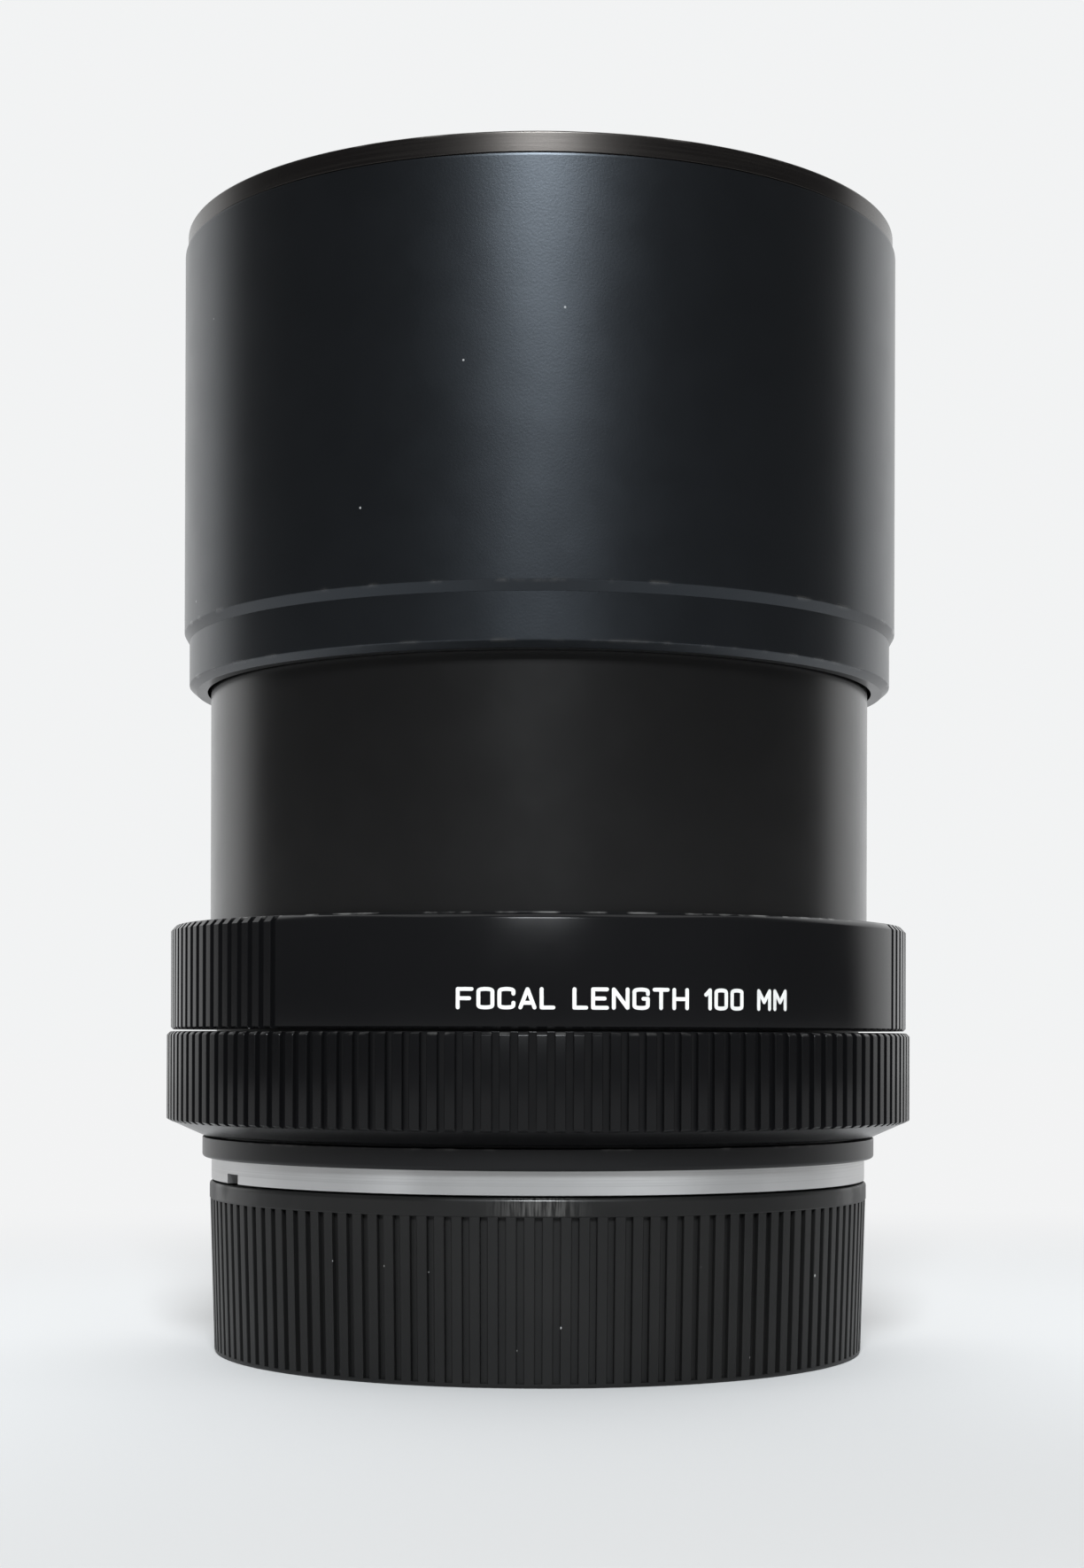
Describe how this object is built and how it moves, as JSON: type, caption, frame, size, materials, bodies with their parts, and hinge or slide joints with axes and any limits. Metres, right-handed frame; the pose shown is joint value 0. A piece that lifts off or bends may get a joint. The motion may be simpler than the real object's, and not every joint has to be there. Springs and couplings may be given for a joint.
{
  "type": "bellows macro lens",
  "caption": "Black bayonet-mount bellows lens with a telescopic hood, fluted preset and stop-down rings, an iris diaphragm and a ribbed rear cap.",
  "frame": {"origin": "centre of the lens's axis on the surface that the rear cap stands on", "axes": "+Z along the optical axis towards the front of the lens; -Y faces the engraved back panel and +Y the aperture index"},
  "size_m": [0.067, 0.067, 0.0996],
  "materials": {
    "hood_black": "satin black anodised",
    "barrel_black": "matt black anodised",
    "ring_black": "satin black anodised, finely fluted",
    "inner_black": "dead matt black",
    "bare_aluminium": "turned and lightly brushed",
    "cap_plastic": "moulded, satin",
    "glass": "polished, coated",
    "blade_steel": "blackened spring steel",
    "steel": "bright",
    "brass": "turned",
    "felt": "black felt",
    "white_enamel": "enamel",
    "red_enamel": "enamel"
  },
  "bodies": {
    "lens": {"barrel": "barrel_black", "barrel_index_dot": "white_enamel", "barrel_set_screws": "steel", "filter_ring": "hood_black", "name_ring": "ring_black", "lens_tube": "inner_black", "front_cell": "inner_black", "front_retaining_ring": "inner_black", "spacer_ring": "inner_black", "lens_element_1": "glass", "lens_element_2": "glass", "lens_element_3": "glass", "lens_element_4": "glass", "rear_cell": "inner_black", "rear_retaining_ring": "inner_black", "iris_pivot_ring": "brass", "iris_retaining_ring": "inner_black", "click_spring": "steel", "rear_housing": "ring_black", "mount_index_dot": "red_enamel", "bayonet_ring": "bare_aluminium", "bayonet_screws": "steel", "rear_baffle": "inner_black"},
    "hood": {"hood_tube": "hood_black", "hood_rim": "hood_black", "hood_guide": "hood_black", "hood_felts": "felt"},
    "preset": {"preset_ring": "ring_black", "preset_stop_pin": "steel"},
    "click": {"click_ball": "steel"},
    "stop_down": {"stop_down_ring": "ring_black", "drive_arm": "brass", "drive_arm_screws": "steel", "iris_drive_ring": "brass"},
    "cap": {"rear_cap": "cap_plastic"},
    "blade_1": {"iris_blade_1": "blade_steel"},
    "blade_2": {"iris_blade_2": "blade_steel"},
    "blade_3": {"iris_blade_3": "blade_steel"},
    "blade_4": {"iris_blade_4": "blade_steel"},
    "blade_5": {"iris_blade_5": "blade_steel"},
    "blade_6": {"iris_blade_6": "blade_steel"},
    "blade_7": {"iris_blade_7": "blade_steel"},
    "blade_8": {"iris_blade_8": "blade_steel"}
  },
  "joints": [
    {"name": "hood_slide", "type": "slide", "parent": "lens", "child": "hood", "axis": [0, 0, 1], "range_m": [-0.0175, 0]},
    {"name": "preset_turn", "type": "hinge", "parent": "lens", "child": "preset", "pos_m": [0, 0, 0.033], "axis": [0, 0, 1], "range_deg": [-42, 0]},
    {"name": "stop_down_turn", "type": "hinge", "parent": "lens", "child": "stop_down", "pos_m": [0, 0, 0.024], "axis": [0, 0, 1], "range_deg": [0, 42]},
    {"name": "click_ball_slide", "type": "slide", "parent": "lens", "child": "click", "axis": [-1, 0, 0], "range_m": [-0.00015, 0], "stiffness_N_per_m": 300, "springref_m": 0.0001},
    {"name": "cap_off", "type": "slide", "parent": "lens", "child": "cap", "axis": [0, 0, -1], "range_m": [0, 0.03]},
    {"name": "blade_1_swing", "type": "hinge", "parent": "lens", "child": "blade_1", "pos_m": [0.0175, 0, 0.05526], "axis": [0, 0, 1], "range_deg": [0, 31.5]},
    {"name": "blade_2_swing", "type": "hinge", "parent": "lens", "child": "blade_2", "pos_m": [0.01237, 0.01237, 0.05546], "axis": [0, 0, 1], "range_deg": [0, 31.5]},
    {"name": "blade_3_swing", "type": "hinge", "parent": "lens", "child": "blade_3", "pos_m": [0, 0.0175, 0.05566], "axis": [0, 0, 1], "range_deg": [0, 31.5]},
    {"name": "blade_4_swing", "type": "hinge", "parent": "lens", "child": "blade_4", "pos_m": [-0.01237, 0.01237, 0.05586], "axis": [0, 0, 1], "range_deg": [0, 31.5]},
    {"name": "blade_5_swing", "type": "hinge", "parent": "lens", "child": "blade_5", "pos_m": [-0.0175, 0, 0.05606], "axis": [0, 0, 1], "range_deg": [0, 31.5]},
    {"name": "blade_6_swing", "type": "hinge", "parent": "lens", "child": "blade_6", "pos_m": [-0.01237, -0.01237, 0.05626], "axis": [0, 0, 1], "range_deg": [0, 31.5]},
    {"name": "blade_7_swing", "type": "hinge", "parent": "lens", "child": "blade_7", "pos_m": [0, -0.0175, 0.05646], "axis": [0, 0, 1], "range_deg": [0, 31.5]},
    {"name": "blade_8_swing", "type": "hinge", "parent": "lens", "child": "blade_8", "pos_m": [0.01237, -0.01237, 0.05666], "axis": [0, 0, 1], "range_deg": [0, 31.5]}
  ],
  "couplings": [
    {"joint": "blade_1_swing", "follows": "stop_down_turn", "ratio": 0.75},
    {"joint": "blade_2_swing", "follows": "stop_down_turn", "ratio": 0.75},
    {"joint": "blade_3_swing", "follows": "stop_down_turn", "ratio": 0.75},
    {"joint": "blade_4_swing", "follows": "stop_down_turn", "ratio": 0.75},
    {"joint": "blade_5_swing", "follows": "stop_down_turn", "ratio": 0.75},
    {"joint": "blade_6_swing", "follows": "stop_down_turn", "ratio": 0.75},
    {"joint": "blade_7_swing", "follows": "stop_down_turn", "ratio": 0.75},
    {"joint": "blade_8_swing", "follows": "stop_down_turn", "ratio": 0.75}
  ]
}
